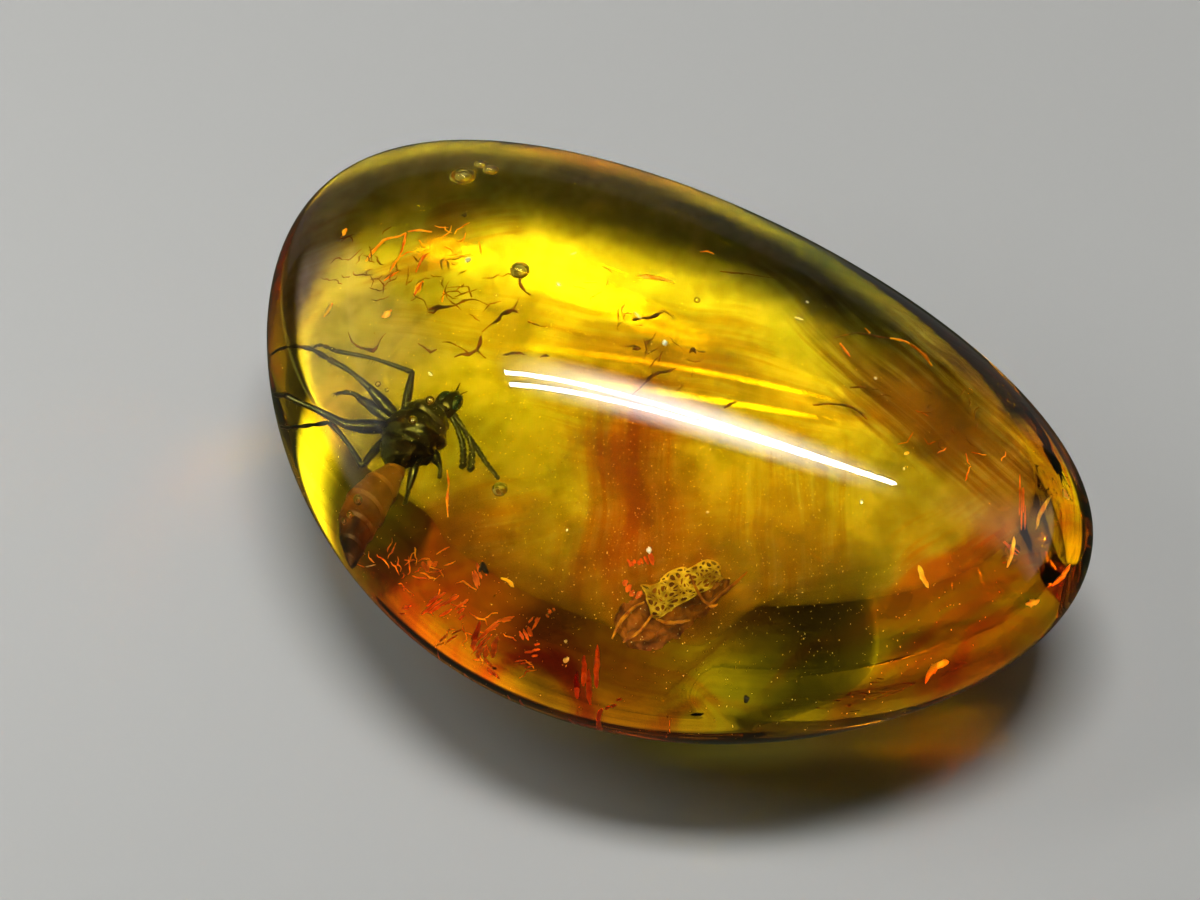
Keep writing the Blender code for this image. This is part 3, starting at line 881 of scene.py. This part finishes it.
def makeScrap():
    plate = bmesh.new()
    scrapGrid(plate, (-0.94, 0.94), (-1, 1), scrap["squares"], 0)
    body = meshPiece("plantScrap", plate, solidMaterial("driedLeafTissue", scrap["tissue"]))
    addWall(body, scrap["thickness"])
    plainMesh(body)
    place(body, "plant", "plant_fragment")

    crust = bmesh.new()
    scrapGrid(crust, scrap["netAlong"], scrap["netAcross"], scrap["netSquares"], scrap["netLift"])
    bmesh.ops.triangulate(crust, faces=crust.faces[:])
    net = meshPiece("scrapNet", crust, stainMaterial("yellowLeafVeins", "#A0740F", "#E6C044"))
    threads = net.modifiers.new("threads", "WIREFRAME")
    threads.thickness = scrap["netThread"] * mm
    threads.use_even_offset = False
    threads.use_boundary = True
    rounded = net.modifiers.new("rounded", "SUBSURF")
    rounded.levels = rounded.render_levels = 1
    plainMesh(net)
    outward = bmesh.new()
    outward.from_mesh(net.data)
    bmesh.ops.recalc_face_normals(outward, faces=outward.faces[:])
    outward.to_mesh(net.data)
    outward.free()
    place(net, "plant")

    bm = bmesh.new()
    for stalk in inMm(scrap["stalks"]):
        addTube(bm, splinePath(stalk, 10), 8,
                lambda along, angle: 1 + 0.35 * noise.noise(Vector((along * 9, angle * 0.5, 2))))
    place(meshPiece("scrapStalks", bm, stainMaterial("orangeLeafFibre", "#8F3A06", "#D98A1C", 0.5)), "plant")


print("plant scrap")
makeScrap()

flakes = {
    # small flat pieces in the resin: the white and gold ones are splits drawn in bright colours as painted
    # glints, the ember ones orange stain with a painted glint,
    # the dark ones specks of bark. Each: x, y, z of the centre, half length and half width, all in hundredths
    # of a mm, then turn and tilt in degrees
    "white": (
        (84, 0, 1186, 9, 10, 36, -6), (-625, -19, 1172, 10, 10, 11, 6), (370, -582, 981, 9, 10, 29, 0),
        (192, -717, 530, 9, 10, 13, 13), (340, 467, 1040, 6, 5, 49, -21), (660, 342, 991, 6, 5, 49, -16),
        (356, 380, 1058, 17, 4, 22, -16), (903, 94, 980, 4, 6, 18, -25), (850, -92, 985, 5, 6, 37, -11),
        (-338, 52, 1120, 10, 7, -6, -3), (-88, 108, 1036, 16, 4, -18, -9), (204, -767, 652, 5, 5, -13, -28),
        (-535, -365, 1018, 10, 4, -18, -3), (-543, -616, 496, 21, 4, -25, -5),
        (-498, -636, 476, 27, 4, -23, 43), (456, -376, 986, 5, 4, 32, 0), (107, -625, 954, 3, 4, 18, 0),
        (-378, 202, 1062, 12, 3, 60, -5),
    ),
    "gold": (
        (-132, 284, 978, 63, 7, 23, -7), (-38, -685, 689, 26, 6, -12, -2), (1016, -26, 612, 36, 9, -32, -21),
        (1228, 186, 634, 50, 6, -75, -14), (1242, 364, 642, 70, 7, -85, -1), (1323, 138, 532, 26, 8, 58, -6),
        (1360, 263, 536, 50, 7, -100, -1), (1083, -86, 392, 42, 8, 43, 20), (-768, -20, 848, 21, 9, 97, 15),
        (-988, -142, 798, 20, 5, 85, 37), (-800, -140, 866, 12, 10, 63, 26), (-1094, 80, 856, 13, 7, 110, 9),
        (1250, 488, 574, 20, 9, -33, -15), (868, 166, 941, 10, 5, 60, -9),
    ),
    "ember": (
        (-254, -702, 524, 50, 17, 10, 51), (-207, -707, 544, 31, 14, 15, 45),
        (-159, -714, 548, 25, 14, 22, 47), (-58, -727, 530, 43, 10, 25, 49), (-16, -710, 572, 25, 7, 17, 25),
        (-86, -694, 435, 54, 14, -6, 62), (-188, -637, 379, 86, 10, -65, 43),
        (-108, -566, 324, 107, 17, -74, 26), (26, -593, 356, 106, 10, -63, 41),
        (62, -715, 558, 19, 10, -22, -36), (71, -691, 592, 18, 7, 61, 45), (90, -730, 527, 22, 10, 14, 19),
        (187, -532, 321, 131, 14, -62, 24), (292, -591, 342, 47, 14, -57, 40),
        (-37, -735, 406, 21, 14, 19, -35), (-307, -662, 593, 16, 17, -28, -22),
        (-142, -659, 630, 28, 10, -36, -29), (308, -568, 726, 14, 17, 78, 31),
        (282, -511, 764, 13, 10, -30, -24), (1177, 342, 627, 80, 6, -63, -10),
        (1206, 209, 607, 30, 6, -3, -18), (101, -666, 616, 9, 7, -13, -19),
        (-346, -690, 450, 23, 10, -20, 35), (297, -450, 719, 22, 10, -28, -21),
    ),
    "dark": (
        (660, -771, 578, 22, 8, 28, 9), (770, -662, 611, 14, 7, -54, -72),
        (-97, -754, 786, 21, 10, -27, -24), (16, -870, 524, 9, 7, -3, 18), (-779, 218, 945, 9, 7, -3, 6),
        (-107, -757, 782, 12, 7, 49, 41),
    ),
    "thickness": 0.35,          # of the half width
    "splinters": 4,             # in each split, side by side
}


def makeFlakes(name, rows, material, slot, splinters=1):
    bm = bmesh.new()
    draw = random.Random(name)
    for *lengths, turn, tilt in rows:
        *centre, halfLength, halfWidth = inMm(lengths)
        lie = Matrix.Rotation(math.radians(turn), 4, "Z") @ Matrix.Rotation(math.radians(-tilt), 4, "Y")
        for step in range(splinters):
            side = (step - (splinters - 1) / 2) * halfWidth * 1.1
            shift = Vector((
                draw.uniform(-0.5, 0.5) * halfLength * (splinters > 1), side, draw.uniform(-1, 1) * side))
            length = halfLength * draw.uniform(0.4, 1.0) if splinters > 1 else halfLength
            width = halfWidth * (0.45 if splinters > 1 else 1.0)
            skew = draw.uniform(-0.25, 0.25)
            flake = bmesh.ops.create_icosphere(bm, subdivisions=3, radius=1)["verts"]
            for vertex in flake:
                x, y, z = vertex.co
                rough = Vector((x * 3.1, y * 1.3, z)) + Vector(centre) * 3 + Vector((step, 0, 0))
                jag = 1 + 0.9 * noise.noise(rough)
                curved = y * width * jag + skew * x * x * (length if splinters == 1 else width)
                point = Vector((x * length, curved, z * width * flakes["thickness"]))
                vertex.co = (lie @ (point + shift) + Vector(centre)) * mm
    place(meshPiece(name, bm, material), slot)


print("flakes")
# the air in a split mirrors what lies round it, so the white, gold and ember flakes are painted in the colour
# of the glint that it sends back; the dark specks keep the colour of charred bark
for name, kind, material, slot, splinters in (
        ("whiteSparks", "white", ("silveryCrackPaintedGlint", "#E8E0C8", "#FFFFFF", 0.3), "amber", 1),
        ("goldSparks", "gold", ("goldenCrackPaintedGlint", "#FF9A00", "#FFDC48", 0.3), "amber", 1),
        ("emberShards", "ember", ("emberCrackPaintedGlint", "#B93A04", "#F5700E", 0.4), "amber", flakes["splinters"]),
        ("darkSpecks", "dark", ("charredBark", "#0D0503", "#2A1206"), "plant", 1)):
    makeFlakes(name, flakes[kind], stainMaterial(*material), slot, splinters)

dust = {
    "count": 3000,
    "centre": (2.5, -3.2, 7.2),     # where it lies thickest, and how far it spreads
    "spread": (6, 3.2, 2.4),
    "grain": 0.023,
    "smallest": (0.25, 0.2, 0.2),   # of that, along each grain and across it
    "largest": (1.5, 0.8, 0.7),
    "margin": 0.86,                 # how far out in the drop a grain may lie
}


def insideDrop(point, margin):
    nx = point.x / amberDrop["halfLength"]
    width = amberDrop["halfWidth"] * (1 + amberDrop["widthSlope"] * nx + amberDrop["widthPinch"] * nx * nx)
    ny = (point.y - amberDrop["midlineBend"] * nx * nx) / width
    rise = point.z - amberDrop["bottomDepth"] + amberDrop["restCut"]
    top = amberDrop["topHeight"] * (1 + amberDrop["topSlope"] * nx)
    height = top if rise > 0 else amberDrop["bottomDepth"]
    return nx * nx + ny * ny + (rise / height) ** 2 < margin * margin


def dustNodes(material):
    # small uneven grains on given points, each turned and sized at random
    tree, given = newNodes("dustGrains", "Grain")
    grain = addNode(tree, "GeometryNodeMeshIcoSphere", {"Radius": given.outputs["Grain"], "Subdivisions": 1})
    size = addNode(tree, "FunctionNodeRandomValue", {
        "Min": dust["smallest"], "Max": dust["largest"], "Seed": 4}, data_type="FLOAT_VECTOR")
    turn = addNode(tree, "FunctionNodeRandomValue", {
        "Max": (math.tau,) * 3, "Seed": 9}, data_type="FLOAT_VECTOR")
    planted = addNode(tree, "GeometryNodeInstanceOnPoints", {
        "Points": given, "Instance": grain, "Rotation": turn, "Scale": size})
    return closeNodes(tree, planted, material)


def makeDust():
    draw = random.Random(21)
    points = []
    while len(points) < dust["count"]:
        point = Vector([draw.gauss(dust["centre"][axis], dust["spread"][axis]) for axis in range(3)])
        if insideDrop(point, dust["margin"]):
            points.append(point * mm)
    mesh = bpy.data.meshes.new("dust")
    mesh.from_pydata(points, [], [])
    piece = addObject("dust", mesh)
    attachNodes(piece, dustNodes(stainMaterial("paleDust", "#7A5A1E", "#F2E2A0")), Grain=dust["grain"] * mm)
    place(piece, "plant")


print("dust")
makeDust()

studio = {
    "floorColour": "#949492",
    "worldColour": "#F2FFC8",
    "worldStrength": 0.035,
    "backdropColour": "#5C5C59",
    "azimuth": 30.5,            # camera, in degrees and mm
    "elevation": 52,
    "distance": 111.3,
    "target": (-1.24, -0.44, 5.75),
    "lens": 100,
    "rigHeight": 500,           # mm above the board
}

# Each light: its two ends as slopes from straight overhead, its width in mm, its power in watts, which rays
# it shows in, how softly its edges fade, and how wide its start is for its end.
lights = {
    "tubeNear": ((-0.36, -0.03), (0.56, 0.61), 9, 1, "gloss"),
    "tubeFar": ((-0.33, -0.07), (0.55, 0.59), 9, 1, "gloss"),
    "tubeGlow": ((-0.4, -0.06), (0.6, 0.62), 110, 4, "gloss", 0.5, 1),
    "hazeLeft": ((-0.38, -0.06), (-3.4, -0.65), 1800, 4.8, "gloss", 0.16, 0.02),
    "hazeSide": ((-3.4, -0.65, 1.5), (-3.4, -0.65, -1.2), 1800, 4.2, "gloss", 0.22, 1),
    "hazeRight": ((0.5, 0.5), (2.9, 2.35), 1400, 4.6, "gloss", 0.16, 0.02),
    "hazeBack": ((-1.5, 2.6, 0.4), (-1.5, 2.6, -2), 3000, 0.8, "gloss"),
    "overhead": ((-0.3, 0), (0.2, 0.2), 100, 3, "floor"),
    "boardLeft": ((-0.1, -0.06, 0.12), (-0.08, -0.06, 0.12), 40, 0.026, "floor"),
    "fill": ((-1, 0), (1, 0), 1000, 1.1, "through", 0.3, 1),
    "insideNear": ((0.22, -0.04), (-1.6, -1.19), 24, 5, "through", 0.45, 1),
    "insideFar": ((0.17, 0.08), (-1.6, -1), 24, 5, "through", 0.45, 1),
    "behind": ((0.5, 1), (-1.9, 0.7), 330, 0.55, "through", 0.4, 1),
    "rimLight": ((-3, -0.9, -0.2), (-3, -0.9, 1.2), 900, 2.6, "through", 0.3, 1),
    "glow": ((-0.5, -0.63), (0.35, -0.56), 135, 11.5, "through", 0.4, 1),
    "emberGlow": ((0.1, 0.9), (-0.5, 1), 330, 0.45, "through", 0.4, 1),
    "leftGlow": ((0.42, -0.52), (1.05, -0.62), 135, 11, "through", 0.4, 1),
    "window": ((0.5, 0.5), (1.2, 0.4), 250, 1.4, "through", 0.4, 1),
}


def makeFloor():
    board = solidMaterial("paleBoard", {
        "surface": {"Base Color": linearColour(studio["floorColour"]), "Roughness": 0.85}})
    bm = bmesh.new()
    bmesh.ops.create_grid(bm, x_segments=1, y_segments=1, size=1)
    floor = meshPiece("floor", bm, board, smooth=False)
    floor.location.z = -0.02 * mm       # just clear of the drop
    floor.visible_glossy = False        # as a black flag does, so that the drop mirrors only the lights


def makeCamera():
    turn, tilt = math.radians(studio["azimuth"]), math.radians(studio["elevation"])
    back = Vector((math.sin(turn) * math.cos(tilt), -math.cos(turn) * math.cos(tilt), math.sin(tilt)))
    lens = bpy.data.cameras.new("camera")
    lens.lens = studio["lens"]
    lens.clip_start = 0.001
    camera = addObject("camera", lens)
    camera.location = Vector(studio["target"]) * mm + back * studio["distance"] * mm
    camera.rotation_euler = (-back).to_track_quat("-Z", "Y").to_euler()
    bpy.context.scene.camera = camera


def softenEdges(data, softness, taper):
    data.use_nodes = True
    tree = data.node_tree
    spot = addNode(tree, "NewGeometry").outputs["Parametric"]
    parts = addNode(tree, "SeparateXYZ", {"Vector": spot})
    # how far inside the edges a point lies, along the strip and across its own width there
    along, across = (
        addNode(tree, "Math", {0: parts.outputs[axis], 1: 0.5}, operation="PINGPONG")
        for axis in "XY")
    narrowing = addNode(tree, "MapRange", {
        "Value": parts, "To Min": 0.5 * (1 - taper), "To Max": 0})
    inside = addNode(tree, "Math", {0: across, 1: narrowing}, operation="SUBTRACT")
    edges = [
        addNode(tree, "MapRange", {
            "Value": distance, "From Max": softness}, interpolation_type="SMOOTHSTEP")
        for distance in (along, inside)]
    fade = addNode(tree, "Math", {0: edges[0], 1: edges[1]}, operation="MULTIPLY")
    tree.links.new(fade.outputs[0], tree.nodes["Emission"].inputs["Strength"])


def stripLight(name, start, end, width, power, shownIn, softness=0, taper=1):
    # a strip of light that faces the drop, from start to end
    start, end = (Vector((*slopes, 1)[:3]) * (studio["rigHeight"] * mm) for slopes in (start, end))
    middle = (start + end) / 2
    data = bpy.data.lights.new(name, "AREA")
    data.shape = "RECTANGLE"
    data.size = (end - start).length
    data.size_y = width * mm
    data.energy = power
    light = addObject(name, data)
    along = (end - start).normalized()
    facing = middle.normalized()
    across = facing.cross(along).normalized()
    facing = along.cross(across).normalized()
    light.matrix_world = Matrix.Translation(middle) @ Matrix((along, across, facing)).transposed().to_4x4()
    light.visible_camera = light.visible_volume_scatter = False
    light.visible_glossy = shownIn == "gloss"
    light.visible_diffuse = shownIn == "floor"
    light.visible_transmission = shownIn == "through"
    if softness:
        softenEdges(data, softness, taper)


def makeSky():
    world = bpy.data.worlds.new("studioSky")
    world.use_nodes = True
    tree = world.node_tree
    tree.nodes.clear()
    sky, backdrop = (
        addNode(tree, "Background", {"Color": linearColour(colour), "Strength": strength})
        for colour, strength in (
            (studio["worldColour"], studio["worldStrength"]), (studio["backdropColour"], 1)))
    # behind everything hangs a plain pale backdrop, which lights nothing
    seen = addNode(tree, "LightPath").outputs["Is Camera Ray"]
    both = addNode(tree, "MixShader", {0: seen, 1: sky, 2: backdrop})
    addNode(tree, "OutputWorld", {"Surface": both})
    bpy.context.scene.world = world


print("studio")
makeFloor()
makeSky()
for name, light in lights.items():
    stripLight(name, *light)
makeCamera()

scene = bpy.context.scene
scene.view_settings.view_transform = "Standard"
scene.cycles.max_bounces = 32
scene.cycles.glossy_bounces = 16
scene.cycles.transmission_bounces = 32
scene.cycles.blur_glossy = 0            # keeps the light that the drop gathers on the board
scene.cycles.sample_clamp_indirect = 0
